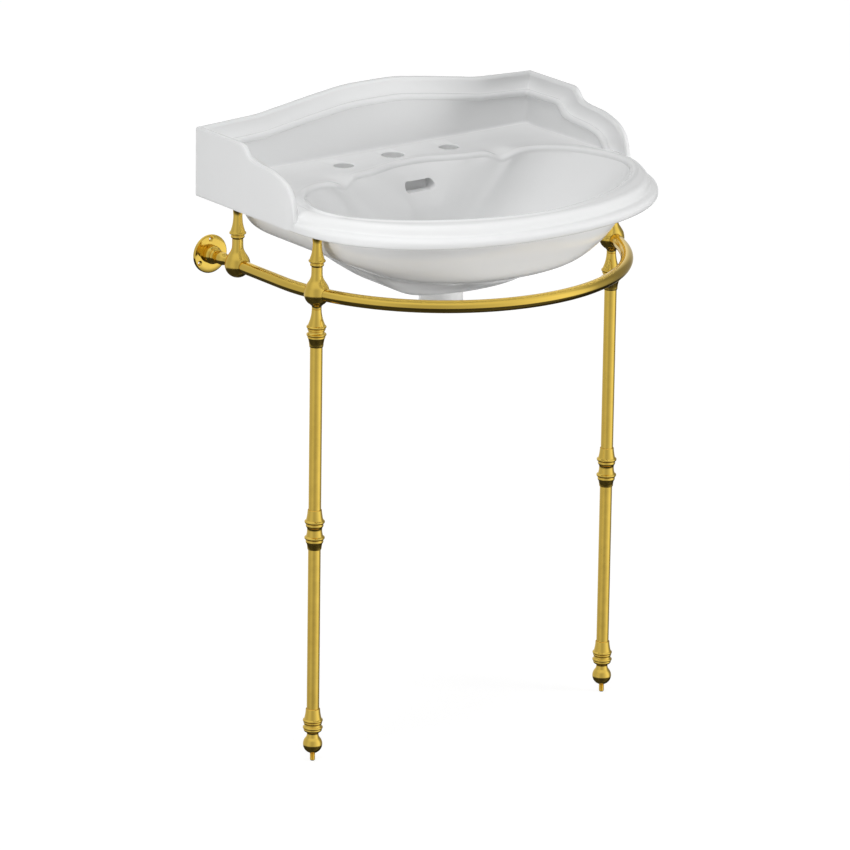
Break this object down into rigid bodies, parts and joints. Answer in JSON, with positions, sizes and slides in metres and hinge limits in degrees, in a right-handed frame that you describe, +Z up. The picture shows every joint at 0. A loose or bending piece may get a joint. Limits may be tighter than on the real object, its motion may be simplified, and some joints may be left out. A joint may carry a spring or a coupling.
{
  "type": "washbasin with stand",
  "caption": "Ceramic washbasin with a moulded upstand and a wavy-backed bowl, on a brass stand with turned front legs, a bowed towel rail and wall arms.",
  "frame": {"origin": "on the floor, under the middle of the whole object's outline", "axes": "+Z up, +Y towards the wall, +X to the right as seen from the front"},
  "size_m": [0.638, 0.502, 0.9755],
  "materials": {
    "ceramic": "glossy white glaze",
    "brass": "polished and lacquered"
  },
  "bodies": {
    "basin_and_stand": {"basin": "ceramic", "rail_front": "brass", "rail_side_right": "brass", "rail_side_left": "brass", "front_spindle_right": "brass", "front_ball_right": "brass", "collar_upper_right": "brass", "tube_upper_right": "brass", "collar_middle_right": "brass", "tube_lower_right": "brass", "collar_lower_right": "brass", "ball_foot_right": "brass", "rear_spindle_right": "brass", "rear_ball_right": "brass", "wall_flange_right": "brass", "arm_boss_right": "brass", "arm_sleeve_right": "brass", "front_spindle_left": "brass", "front_ball_left": "brass", "collar_upper_left": "brass", "tube_upper_left": "brass", "collar_middle_left": "brass", "tube_lower_left": "brass", "collar_lower_left": "brass", "ball_foot_left": "brass", "rear_spindle_left": "brass", "rear_ball_left": "brass", "wall_flange_left": "brass", "arm_boss_left": "brass", "arm_sleeve_left": "brass"},
    "left_stud": {"levelling_stud_left": "brass"},
    "right_stud": {"levelling_stud_right": "brass"}
  },
  "joints": [
    {"name": "left_levelling", "type": "slide", "parent": "basin_and_stand", "child": "left_stud", "axis": [0, 0, 1], "range_m": [0, 0.008]},
    {"name": "right_levelling", "type": "slide", "parent": "basin_and_stand", "child": "right_stud", "axis": [0, 0, 1], "range_m": [0, 0.008]}
  ]
}
